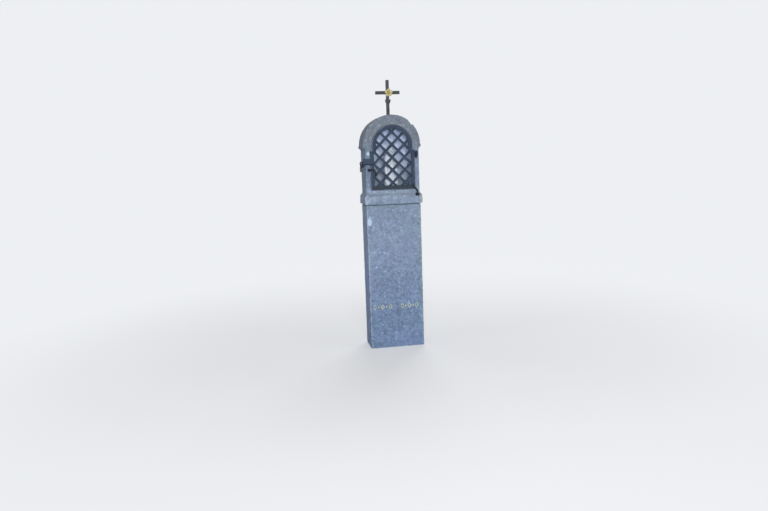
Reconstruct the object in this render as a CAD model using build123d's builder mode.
from build123d import *
import os
from math import cos, radians, sin, sqrt

# A wayside shrine of bluish limestone: a tall pier, a head stone with an arched niche behind a
# lattice door of flat iron, a padlock on the door's strap, a statuette inside and a cross on top.
# X runs to the right seen from the front, Y to the back and Z up, in millimetres.
# The origin is on the ground, at the middle of the pier's foot.

# Pier and mortar bed
shaft_width = 450
shaft_depth = 250
shaft_height = 1182
shaft_arris = 7
bed_thickness = 4
bed_setback = 7

# Head stone: a projecting band, two jambs and a round hood
band_side = 11
band_front = 24
band_height = 68
band_round = 8
weathering_rise = 22
jamb_width = 440
jamb_arris = 13
hood_radius = 233
hood_arris = 10
hood_height = 711
kneeler_side = 21
kneeler_rise = 22
kneeler_fall = 16
hood_band_width = 37
hood_band_sink = 5
chip_start = 54
chip_end = 41
chip_bite = 12
chip_reach = 90
chip_taper = 4

# Niche and the rebate in which the door sits
niche_half_width = 154
niche_depth = 160
sill_height = 115
rebate_depth = 19
rebate_gap = 5
niche_step = 14
springing_height = 465

# Door of flat iron
frame_thickness = 8
frame_proud = 5
arch_bar_inner = 131
arch_bar_outer = 159
arch_foot_height = 20
stile_inner = 150
stile_width = 27
stile_height = 285
rail_height = 31
lattice_bar_width = 20
lattice_bar_thickness = 4
lattice_spacing = 100.8
lattice_first_crossing = 53
lattice_overlap = 13

# Hinge of the door: a pintle above and a pivot in a socket below
hinge_offset = 17
hinge_standoff = 16
pin_radius = 5.5
pin_chamfer = 1.8
pin_clearance = 0.3
strap_thickness = 5
eye_height = 40
eye_bottom = 256
strap_overlap = 24
strap_plate_height = 62
pin_proud = 5
shank_radius = 6
shank_depth = 48
lead_ring = 4
lead_proud = 1.5
socket_radius = 16
socket_height = 22
socket_recess = 6
socket_chamfer = 2.4
arm_radius = 7
arm_top = 43
arm_knee = 20
arm_bend = 12
pivot_depth = 14

# Closing strap with its lug, and the pull
closing_strap_height = 50
closing_strap_bottom = 197
closing_strap_reach = 14
lug_setback = 7
lug_reach = 29
lug_drop = 20
lug_hole_radius = 5.5
pull_radius = 5
pull_bend = 10
pull_height = 158
pull_reach = 31
pull_fall = 46
pull_lean = 14
pull_knob_radius = 11

# Padlock and the staple in which it hangs
staple_setback = 32
staple_height = 209
staple_rod_radius = 3.5
staple_eye_radius = 9
staple_stem = 21
staple_depth = 34
shackle_radius = 3.25
shackle_bend = 10
shackle_leg = 14
shackle_seat = 9
padlock_thickness = 18
padlock_width = 40
padlock_height = 38
padlock_corner = 5

# Cross on the hood
cross_bar_width = 27
cross_bar_thickness = 12
cross_arm_length = 100
cross_stem_height = 180
cross_tenon = 60
cross_lead_ring = 8
petal_count = 5
petal_radius = 14
petal_reach = 20
petal_thickness = 9
petal_edge = 3
rosette_heart_radius = 13
rosette_boss_radius = 9
rosette_boss_rise = 4.5
rosette_boss_edge = 3
rosette_offset = 8
leaf_drop = 90
leaf_rise = 40
leaf_reach = 27
leaf_width = 10
leaf_bulge = 9
leaf_hollow = 2
leaf_flare = 4
leaf_thickness = 2
leaf_rivet_radius = 5
leaf_rivet_rise = 2.5
leaf_rivet_edge = 1.5

# Statuette
statue_setback = 88
plinth_radius = 58
plinth_height = 26
plinth_edge = 4
robe_width = 106
robe_depth = 80
robe_height = 262
waist_height = 118
shoulder_height = 225
shoulder_width = 80
shoulder_depth = 46
neck_width = 26
neck_length = 9
throat_radius = 8.5
head_radius = 19
mantle_thickness = 9
mantle_hem = 12
mantle_opening = 6
hand_length = 34
hand_width = 22
fingertip_width = 8
fingertip_depth = 11
hand_level = 172

# Levels and planes worked out from the sizes above
front = -shaft_depth / 2
head_base = shaft_height + bed_thickness
band_top = head_base + band_height
weathering_top = band_top + weathering_rise
hood_centre = head_base + hood_height - hood_radius
hood_top = hood_centre + hood_radius
jamb_half = jamb_width / 2
kneeler_half = jamb_half + kneeler_side
springing = head_base + springing_height
rebate_sill = head_base + sill_height
niche_floor = rebate_sill + niche_step
door_sill = rebate_sill + rebate_gap
stile_outer = stile_inner + stile_width
stile_top = door_sill + stile_height
shoulder = stile_top + arch_foot_height
frame_front = front - frame_proud
frame_back = frame_front + frame_thickness
strap_front = frame_front - strap_thickness
hinge_x = stile_outer + hinge_offset
hinge_y = front - hinge_standoff
eye_foot = door_sill + eye_bottom
eye_radius = pin_radius + pin_clearance + strap_thickness
shank_z = eye_foot - pin_clearance - shank_radius
socket_base = band_top - socket_recess
socket_top = socket_base + socket_height
strap_foot = door_sill + closing_strap_bottom
strap_end = -(jamb_half + closing_strap_reach)
lug_back = front + lug_setback
staple_x = -(jamb_half + staple_stem + staple_eye_radius)
staple_y = front + staple_setback
staple_z = door_sill + staple_height
cross_z = hood_top + cross_stem_height
cross_front = -cross_bar_thickness / 2
leaf_root = cross_z - leaf_drop
statue_y = front + statue_setback
plinth_top = niche_floor + plinth_height
robe_top = plinth_top + robe_height


def front_plane(y):
    """A plane that faces the front at the given depth, with local x along X and local y along Z."""
    return Plane.XZ.offset(-y)


def arched_opening(half_width, sill, spring, mode=Mode.ADD):
    """A round-headed outline, drawn into the sketch that is open or cut from it."""
    with Locations((0, sill)):
        Rectangle(2 * half_width, spring - sill, align=(Align.CENTER, Align.MIN), mode=mode)
    with Locations((0, spring)):
        Circle(half_width, mode=mode)


def shouldered_opening(half_width, sill, shoulder, radius, spring):
    """A round-headed outline that is wider below its shoulders."""
    arched_opening(radius, sill, spring)
    with Locations((0, sill)):
        Rectangle(2 * half_width, shoulder - sill, align=(Align.CENTER, Align.MIN))


def hood_point(angle, radius):
    """A point in the front plane at an angle and a distance from the hood's centre."""
    return radius * cos(radians(angle)), hood_centre + radius * sin(radians(angle))


# The pier is one tall block with worn arrises
with BuildPart() as shaft:
    with BuildSketch():
        Rectangle(shaft_width, shaft_depth)
    extrude(amount=shaft_height)
    fillet(shaft.edges().filter_by(Axis.Z), shaft_arris)

# The mortar bed shows as a thin dark line under the band
with BuildPart() as bed_joint:
    with BuildSketch(Plane.XY.offset(shaft_height)):
        Rectangle(shaft_width - 2 * bed_setback, shaft_depth - 2 * bed_setback)
    extrude(amount=bed_thickness)

# The head: jambs and hood are one outline, the band is wrapped round its foot
with BuildPart() as head_block:
    with BuildSketch(front_plane(front)):
        with BuildLine():
            Polyline(
                (0, head_base),
                (jamb_half, head_base),
                (jamb_half, hood_centre - kneeler_fall - kneeler_rise),
                (kneeler_half, hood_centre - kneeler_fall),
                (hood_radius, hood_centre),
            )
            RadiusArc((hood_radius, hood_centre), (0, hood_top), -hood_radius)
            mirror(about=Plane.YZ)
        make_face()
    extrude(amount=-shaft_depth)
    fillet(head_block.edges().filter_by(GeomType.CIRCLE), hood_arris)
    fillet(head_block.edges().filter_by(Axis.Z).filter_by(lambda e: e.length > sill_height), jamb_arris)
    with BuildSketch(front_plane(front)):
        with Locations((0, hood_centre - kneeler_fall)):
            Rectangle(2 * kneeler_half, kneeler_fall + hood_radius, align=(Align.CENTER, Align.MIN))
            Rectangle(
                2 * (hood_radius - hood_band_width),
                kneeler_fall,
                align=(Align.CENTER, Align.MIN),
                mode=Mode.SUBTRACT,
            )
        with Locations((0, hood_centre)):
            Circle(hood_radius - hood_band_width, mode=Mode.SUBTRACT)
    extrude(amount=-hood_band_sink, mode=Mode.SUBTRACT)
    with BuildSketch(front_plane(front)):
        with BuildLine():
            Polyline(
                hood_point(chip_start, hood_radius),
                hood_point(chip_end, hood_radius - chip_bite),
                hood_point(chip_end, hood_radius + chip_bite),
                hood_point(chip_start, hood_radius + chip_bite),
                close=True,
            )
        make_face()
    extrude(amount=-chip_reach, taper=chip_taper, mode=Mode.SUBTRACT)
    with BuildSketch(Plane.XY.offset(head_base)):
        Rectangle(shaft_width + 2 * band_side, shaft_depth + 2 * band_front)
    extrude(amount=band_height)
    fillet(head_block.faces().sort_by(Axis.Z)[0].edges(), band_round)
    with BuildSketch(Plane.XY.offset(band_top)):
        Rectangle(shaft_width + 2 * band_side, shaft_depth + 2 * band_front)
    with BuildSketch(Plane.XY.offset(weathering_top)):
        Rectangle(jamb_width, shaft_depth)
    loft()
    with BuildSketch(front_plane(front)):
        arched_opening(niche_half_width, niche_floor, springing)
    extrude(amount=-niche_depth, mode=Mode.SUBTRACT)
    with BuildSketch(front_plane(front)):
        shouldered_opening(
            stile_outer + rebate_gap,
            rebate_sill,
            shoulder + rebate_gap,
            arch_bar_outer + rebate_gap,
            springing,
        )
    extrude(amount=-rebate_depth, mode=Mode.SUBTRACT)
    with BuildSketch(front_plane(front)):
        with Locations((hinge_x, shank_z)):
            Circle(shank_radius + lead_ring)
    extrude(amount=-shank_depth, mode=Mode.SUBTRACT)
    with BuildSketch(Plane.XY.offset(socket_base)):
        with Locations((hinge_x, hinge_y)):
            Circle(socket_radius)
    extrude(amount=socket_height + weathering_rise, mode=Mode.SUBTRACT)
    with BuildSketch(Plane.YZ.offset(-jamb_half)):
        with Locations((staple_y, staple_z)):
            Circle(staple_rod_radius + lead_ring)
    extrude(amount=staple_depth, mode=Mode.SUBTRACT)
    with BuildSketch(Plane.XY.offset(hood_top - cross_tenon)):
        Rectangle(cross_bar_width + 2 * cross_lead_ring, cross_bar_thickness + 2 * cross_lead_ring)
    extrude(amount=cross_tenon + lead_proud, mode=Mode.SUBTRACT)

# The block that carries the band and the sill ends at the niche's floor
with BuildPart() as head_sill:
    add(head_block)
    split(bisect_by=Plane.XY.offset(niche_floor), keep=Keep.BOTTOM)

with BuildPart() as head_stone:
    add(head_block)
    split(bisect_by=Plane.XY.offset(niche_floor), keep=Keep.TOP)

# The upper pintle: a shank run in with lead, and a pin turned up through the strap's eye
with BuildPart() as upper_pintle:
    with BuildSketch(front_plane(hinge_y - shank_radius)):
        with Locations((hinge_x, shank_z)):
            Circle(shank_radius)
    extrude(amount=-(shank_radius + hinge_standoff + shank_depth))
    with BuildSketch(Plane.XY.offset(shank_z)):
        with Locations((hinge_x, hinge_y)):
            Circle(pin_radius)
    extrude(amount=shank_radius + 2 * pin_clearance + eye_height + pin_proud)
    chamfer(upper_pintle.edges().sort_by(Axis.Z)[-1], pin_chamfer)

with BuildPart() as pintle_lead:
    with BuildSketch(front_plane(front - lead_proud)):
        with Locations((hinge_x, shank_z)):
            Circle(shank_radius + lead_ring)
            Circle(shank_radius, mode=Mode.SUBTRACT)
    extrude(amount=-(shank_depth + lead_proud))

# The lower pivot turns in an iron cup let into the weathering
with BuildPart() as pivot_socket:
    with BuildSketch(Plane.XY.offset(socket_base)):
        with Locations((hinge_x, hinge_y)):
            Circle(socket_radius)
    extrude(amount=socket_height)
    with BuildSketch(Plane.XY.offset(socket_top)):
        with Locations((hinge_x, hinge_y)):
            Circle(pin_radius + pin_clearance)
    extrude(amount=-(pivot_depth + pin_clearance), mode=Mode.SUBTRACT)
    chamfer(pivot_socket.edges().group_by(Axis.Z)[-1].sort_by(SortBy.LENGTH)[-1], socket_chamfer)

# The staple: an eye on a shank run into the stone's left side
with BuildPart() as padlock_staple:
    with BuildSketch(Plane.XY.offset(staple_z)):
        with Locations((staple_x + staple_eye_radius, staple_y)):
            Circle(staple_rod_radius)
    revolve(axis=Axis((staple_x, staple_y, staple_z), (0, 1, 0)))
    with BuildSketch(Plane.YZ.offset(staple_x + staple_eye_radius)):
        with Locations((staple_y, staple_z)):
            Circle(staple_rod_radius)
    extrude(amount=staple_stem + staple_depth)

with BuildPart() as staple_lead:
    with BuildSketch(Plane.YZ.offset(-jamb_half - lead_proud)):
        with Locations((staple_y, staple_z)):
            Circle(staple_rod_radius + lead_ring)
            Circle(staple_rod_radius, mode=Mode.SUBTRACT)
    extrude(amount=staple_depth + lead_proud)

# The door's frame: an arch with shouldered feet on two stiles, and a rail between them
with BuildPart() as door_arch:
    with BuildSketch(front_plane(frame_front)):
        arched_opening(arch_bar_outer, door_sill, springing)
        with Locations((0, stile_top)):
            Rectangle(2 * stile_outer, arch_foot_height, align=(Align.CENTER, Align.MIN))
        with Locations((0, stile_top)):
            Rectangle(2 * stile_outer, stile_height, align=(Align.CENTER, Align.MAX), mode=Mode.SUBTRACT)
        arched_opening(arch_bar_inner, door_sill, springing, mode=Mode.SUBTRACT)
    extrude(amount=-frame_thickness)


def stile(side):
    """One upright of the door's frame, on the side given by its sign."""
    with BuildPart() as upright:
        with BuildSketch(front_plane(frame_front)):
            with Locations((side * (stile_inner + stile_width / 2), door_sill)):
                Rectangle(stile_width, stile_height, align=(Align.CENTER, Align.MIN))
        extrude(amount=-frame_thickness)
    return upright


door_closing_stile = stile(-1)
door_hinge_stile = stile(1)

with BuildPart() as door_bottom_rail:
    with BuildSketch(front_plane(frame_front)):
        with Locations((0, door_sill)):
            Rectangle(2 * stile_inner, rail_height, align=(Align.CENTER, Align.MIN))
    extrude(amount=-frame_thickness)

# The lattice: two layers of flat bars, one leaning each way, riveted behind the frame
lattice_length = 2 * (springing + arch_bar_outer - door_sill)
lattice_low = door_sill + rail_height - stile_inner
lattice_high = springing + arch_bar_inner * sqrt(2)
lattice_count = int(lattice_length / lattice_spacing)
crossings = [
    door_sill + lattice_first_crossing + row * lattice_spacing
    for row in range(-lattice_count, lattice_count + 1)
    if lattice_low < door_sill + lattice_first_crossing + row * lattice_spacing < lattice_high
]
with BuildPart() as door_lattice:
    for layer, lean in enumerate((45, -45)):
        with BuildSketch(front_plane(frame_back + layer * lattice_bar_thickness)):
            for crossing in crossings:
                with Locations(Location((0, crossing), lean)):
                    Rectangle(lattice_length, lattice_bar_width)
        extrude(amount=-lattice_bar_thickness)
    with BuildSketch(front_plane(frame_back)):
        arched_opening(arch_bar_inner + lattice_overlap, door_sill + rail_height, springing)
        with Locations((0, door_sill + rail_height - lattice_overlap)):
            Rectangle(
                2 * (stile_inner + lattice_overlap),
                shoulder - arch_foot_height / 2 - door_sill - rail_height + lattice_overlap,
                align=(Align.CENTER, Align.MIN),
            )
    extrude(amount=-2 * lattice_bar_thickness, mode=Mode.INTERSECT)

# The hinge strap: a plate on the stile with an eye rolled round the pin
with BuildPart() as hinge_strap:
    with BuildSketch(front_plane(strap_front)):
        with Locations((stile_outer - strap_overlap / 2, eye_foot + eye_height / 2)):
            Rectangle(strap_overlap, strap_plate_height)
        with Locations((stile_outer - strap_overlap / 2, eye_foot)):
            Rectangle(hinge_offset + strap_overlap / 2, eye_height, align=Align.MIN)
    extrude(amount=-strap_thickness)
    with BuildSketch(Plane.XY.offset(eye_foot)):
        with Locations((hinge_x, hinge_y)):
            Circle(eye_radius)
    extrude(amount=eye_height)
    with BuildSketch(Plane.XY.offset(eye_foot)):
        with Locations((hinge_x, hinge_y)):
            Circle(pin_radius + pin_clearance)
    extrude(amount=eye_height, mode=Mode.SUBTRACT)

# The pivot arm: a bent rod from the hinge stile to the socket
arm_x = stile_outer - stile_width / 2
arm_y = frame_front - arm_radius
with BuildPart() as pivot_arm:
    with BuildLine() as arm_path:
        FilletPolyline(
            (arm_x, arm_y, door_sill + arm_top),
            (arm_x, arm_y, door_sill + arm_knee),
            (hinge_x, hinge_y, socket_top + arm_knee),
            (hinge_x, hinge_y, socket_top + pin_clearance),
            radius=arm_bend,
        )
    with BuildSketch(Plane.XY.offset(door_sill + arm_top)):
        with Locations((arm_x, arm_y)):
            Circle(arm_radius)
    sweep(path=arm_path.line)
    with BuildSketch(Plane.XY.offset(socket_top + pin_clearance)):
        with Locations((hinge_x, hinge_y)):
            Circle(pin_radius)
    extrude(amount=-pivot_depth)

# The closing strap: across the stile, round the stone's corner, with a lug turned outwards
with BuildPart() as closing_strap:
    with BuildSketch(front_plane(strap_front)):
        with Locations((strap_end - strap_thickness, strap_foot)):
            Rectangle(
                -strap_end + strap_thickness - stile_outer + strap_overlap,
                closing_strap_height,
                align=Align.MIN,
            )
    extrude(amount=-strap_thickness)
    with BuildSketch(Plane.YZ.offset(strap_end)):
        with BuildLine():
            Polyline(
                (strap_front, strap_foot),
                (strap_front, strap_foot + closing_strap_height),
                (lug_back, strap_foot + closing_strap_height - lug_drop),
                (lug_back, strap_foot - lug_drop),
                (frame_front, strap_foot - lug_drop),
                close=True,
            )
        make_face()
    extrude(amount=-strap_thickness)
    with BuildSketch(front_plane(lug_back)):
        with Locations((strap_end, strap_foot - lug_drop)):
            Rectangle(lug_reach, closing_strap_height, align=(Align.MAX, Align.MIN))
        with Locations((staple_x, staple_z)):
            Circle(lug_hole_radius, mode=Mode.SUBTRACT)
    extrude(amount=strap_thickness)

# The pull: a bent rod on the closing stile with a knob at its nose
pull_x = -(stile_inner + stile_width / 2)
pull_y = frame_front - pull_radius
pull_z = door_sill + pull_height
with BuildPart() as door_pull:
    with BuildLine() as pull_path:
        FilletPolyline(
            (pull_x - pull_reach, pull_y, pull_z),
            (pull_x + pull_lean, pull_y, pull_z),
            (pull_x + 2 * pull_lean, pull_y, pull_z - pull_fall),
            radius=pull_bend,
        )
    with BuildSketch(Plane.YZ.offset(pull_x - pull_reach)):
        with Locations((pull_y, pull_z)):
            Circle(pull_radius)
    sweep(path=pull_path.line)
    with Locations((pull_x - pull_reach, pull_y - pull_knob_radius + pull_radius, pull_z)):
        Sphere(pull_knob_radius)

# The padlock: a rounded case, its shackle hung in the staple's eye
shackle_top = staple_z - staple_eye_radius + staple_rod_radius + pin_clearance + shackle_radius
case_top = shackle_top - shackle_bend - shackle_leg
with BuildPart() as padlock_shackle:
    with BuildLine() as shackle_path:
        Line((staple_x, staple_y - shackle_bend, case_top - shackle_seat),
             (staple_x, staple_y - shackle_bend, case_top + shackle_leg))
        ThreePointArc(
            (staple_x, staple_y - shackle_bend, case_top + shackle_leg),
            (staple_x, staple_y, shackle_top),
            (staple_x, staple_y + shackle_bend, case_top + shackle_leg),
        )
        Line((staple_x, staple_y + shackle_bend, case_top + shackle_leg),
             (staple_x, staple_y + shackle_bend, case_top - shackle_seat))
    with BuildSketch(Plane.XY.offset(case_top - shackle_seat)):
        with Locations((staple_x, staple_y - shackle_bend)):
            Circle(shackle_radius)
    sweep(path=shackle_path.line)

with BuildPart() as padlock_body:
    with BuildSketch(Plane.YZ.offset(staple_x - padlock_thickness / 2)):
        with Locations((staple_y, case_top)):
            Rectangle(padlock_width, padlock_height, align=(Align.CENTER, Align.MAX))
    extrude(amount=padlock_thickness)
    fillet(padlock_body.edges().filter_by(Axis.X), padlock_corner)
    with BuildSketch(Plane.XY.offset(case_top)):
        with Locations((staple_x, staple_y - shackle_bend), (staple_x, staple_y + shackle_bend)):
            Circle(shackle_radius)
    extrude(amount=-shackle_seat, mode=Mode.SUBTRACT)

# The cross: two flat bars halved into each other, its foot run in with lead
with BuildPart() as cross_upright:
    with BuildSketch(front_plane(cross_front)):
        with Locations((0, hood_top - cross_tenon)):
            Rectangle(
                cross_bar_width,
                cross_tenon + cross_stem_height + cross_arm_length,
                align=(Align.CENTER, Align.MIN),
            )
    extrude(amount=-cross_bar_thickness)
    with BuildSketch(front_plane(cross_front)):
        with Locations((0, cross_z)):
            Rectangle(cross_bar_width, cross_bar_width)
    extrude(amount=-cross_bar_thickness / 2, mode=Mode.SUBTRACT)

with BuildPart() as cross_bar:
    with BuildSketch(front_plane(cross_front)):
        with Locations((0, cross_z)):
            Rectangle(2 * cross_arm_length, cross_bar_width)
    extrude(amount=-cross_bar_thickness)
    with BuildSketch(front_plane(0)):
        with Locations((0, cross_z)):
            Rectangle(cross_bar_width, cross_bar_width)
    extrude(amount=-cross_bar_thickness / 2, mode=Mode.SUBTRACT)

with BuildPart() as cross_lead:
    with BuildSketch(Plane.XY.offset(hood_top - cross_tenon)):
        Rectangle(cross_bar_width + 2 * cross_lead_ring, cross_bar_thickness + 2 * cross_lead_ring)
        Rectangle(cross_bar_width, cross_bar_thickness, mode=Mode.SUBTRACT)
    extrude(amount=cross_tenon + lead_proud)

# The rosette: round petals about a heart, with a boss
with BuildPart() as cross_rosette:
    with BuildSketch(front_plane(cross_front)):
        with Locations((rosette_offset, cross_z)):
            Circle(rosette_heart_radius)
            with PolarLocations(petal_reach, petal_count, start_angle=90):
                Circle(petal_radius)
    extrude(amount=petal_thickness)
    fillet(cross_rosette.faces().sort_by(Axis.Y)[0].edges(), petal_edge)

with BuildPart() as rosette_boss:
    with BuildSketch(front_plane(cross_front - petal_thickness)):
        with Locations((rosette_offset, cross_z)):
            Circle(rosette_boss_radius)
    extrude(amount=rosette_boss_rise)
    fillet(rosette_boss.faces().sort_by(Axis.Y)[0].edges(), rosette_boss_edge)

# Two leaves of sheet iron flare up and forwards from a rivet on the stem
with BuildPart() as stem_leaves:
    with BuildSketch(Plane.YZ.offset(-leaf_reach)):
        with BuildLine():
            bend = (cross_front, leaf_root + leaf_rise / 2)
            tip = (cross_front - leaf_flare, leaf_root + leaf_rise)
            Line((cross_front, leaf_root), bend)
            TangentArc(bend, tip, tangent=(0, 1))
            Line(tip, (tip[0] - leaf_thickness, tip[1]))
            TangentArc((bend[0] - leaf_thickness, bend[1]), (tip[0] - leaf_thickness, tip[1]), tangent=(0, 1))
            Line((bend[0] - leaf_thickness, bend[1]), (cross_front - leaf_thickness, leaf_root))
            Line((cross_front - leaf_thickness, leaf_root), (cross_front, leaf_root))
        make_face()
    extrude(amount=2 * leaf_reach)
    with BuildSketch(front_plane(cross_front)):
        with BuildLine():
            SagittaArc((0, leaf_root), (leaf_reach, leaf_root + leaf_rise), -leaf_bulge)
            SagittaArc((leaf_reach, leaf_root + leaf_rise), (0, leaf_root + leaf_width), leaf_hollow)
            Line((0, leaf_root + leaf_width), (0, leaf_root))
        make_face()
        mirror(about=Plane.YZ)
    extrude(amount=leaf_flare + leaf_thickness, mode=Mode.INTERSECT)
    with BuildSketch(front_plane(cross_front)):
        with Locations((0, leaf_root + leaf_rivet_radius)):
            Circle(leaf_rivet_radius)
    extrude(amount=leaf_thickness + leaf_rivet_rise)
    fillet(stem_leaves.faces().sort_by(Axis.Y)[0].edges(), leaf_rivet_edge)

# The statuette: a draped figure on a round plinth
with BuildPart() as statue_plinth:
    with BuildSketch(Plane.XY.offset(niche_floor)):
        with Locations((0, statue_y)):
            Circle(plinth_radius)
    extrude(amount=plinth_height)
    fillet(statue_plinth.edges().sort_by(Axis.Z)[-1], plinth_edge)


robe_sections = (
    (0, robe_width, robe_depth),
    (waist_height, (robe_width + shoulder_width) / 2, (robe_depth + shoulder_depth) / 2),
    (shoulder_height, shoulder_width, shoulder_depth),
    (robe_height, neck_width, neck_width),
)
with BuildPart() as statue_robe:
    for height, width, depth in robe_sections:
        with BuildSketch(Plane.XY.offset(plinth_top + height)):
            with Locations((0, statue_y)):
                Ellipse(width / 2, depth / 2)
    loft(ruled=True)

with BuildPart() as statue_head:
    with BuildSketch(Plane.XY.offset(robe_top)):
        with Locations((0, statue_y)):
            Circle(throat_radius)
    extrude(amount=neck_length + head_radius)
    with Locations((0, statue_y, robe_top + neck_length + head_radius)):
        Sphere(head_radius)

# The mantle falls from the head over the shoulders and back, open in front
mantle_sections = (
    (mantle_hem, robe_width + mantle_thickness, robe_depth + 2 * mantle_thickness),
    (
        waist_height,
        (robe_width + shoulder_width) / 2 + 2 * mantle_thickness,
        (robe_depth + shoulder_depth) / 2 + 2 * mantle_thickness,
    ),
    (shoulder_height, shoulder_width + 2 * mantle_thickness, shoulder_depth + 2 * mantle_thickness),
    (robe_height + neck_length, 2 * (head_radius + mantle_thickness), 2 * (head_radius + mantle_thickness)),
    (
        robe_height + neck_length + head_radius,
        2 * (head_radius + mantle_thickness),
        2 * (head_radius + mantle_thickness),
    ),
    (robe_height + neck_length + 2 * head_radius + mantle_thickness, head_radius, head_radius),
)
with BuildPart() as statue_mantle:
    for height, width, depth in mantle_sections:
        with BuildSketch(Plane.XY.offset(plinth_top + height)):
            with Locations((0, statue_y)):
                Ellipse(width / 2, depth / 2)
    loft(ruled=True)
    add(statue_robe.part, mode=Mode.SUBTRACT)
    add(statue_head.part, mode=Mode.SUBTRACT)
    with BuildSketch(Plane.XY.offset(plinth_top)):
        with BuildLine():
            Polyline(
                (0, statue_y + mantle_opening),
                (-robe_width, statue_y - robe_depth),
                (robe_width, statue_y - robe_depth),
                close=True,
            )
        make_face()
    extrude(amount=robe_height + neck_length + 2 * head_radius, mode=Mode.SUBTRACT)

# The hands are joined before the breast
with BuildPart() as statue_hands:
    with BuildSketch(Plane.XY.offset(plinth_top + hand_level)):
        with Locations((0, statue_y - shoulder_depth / 2)):
            Circle(hand_width / 2)
    with BuildSketch(Plane.XY.offset(plinth_top + hand_level + hand_length)):
        with Locations((0, statue_y - (shoulder_depth + fingertip_depth) / 2)):
            Ellipse(fingertip_width / 2, fingertip_depth / 2)
    loft(ruled=True)
    add(statue_robe.part, mode=Mode.SUBTRACT)

pieces = {
    "shaft": shaft,
    "bed_joint": bed_joint,
    "head_sill": head_sill,
    "head_stone": head_stone,
    "upper_pintle": upper_pintle,
    "pintle_lead": pintle_lead,
    "pivot_socket": pivot_socket,
    "padlock_staple": padlock_staple,
    "staple_lead": staple_lead,
    "cross_upright": cross_upright,
    "cross_bar": cross_bar,
    "cross_lead": cross_lead,
    "cross_rosette": cross_rosette,
    "rosette_boss": rosette_boss,
    "stem_leaves": stem_leaves,
    "statue_plinth": statue_plinth,
    "statue_robe": statue_robe,
    "statue_mantle": statue_mantle,
    "statue_head": statue_head,
    "statue_hands": statue_hands,
    "door_arch": door_arch,
    "door_closing_stile": door_closing_stile,
    "door_hinge_stile": door_hinge_stile,
    "door_bottom_rail": door_bottom_rail,
    "door_lattice": door_lattice,
    "hinge_strap": hinge_strap,
    "pivot_arm": pivot_arm,
    "closing_strap": closing_strap,
    "door_pull": door_pull,
    "padlock_body": padlock_body,
    "padlock_shackle": padlock_shackle,
}
os.makedirs("parts", exist_ok=True)
for name, piece in pieces.items():
    piece.part.label = name
    export_step(piece.part, f"parts/{name}.step")
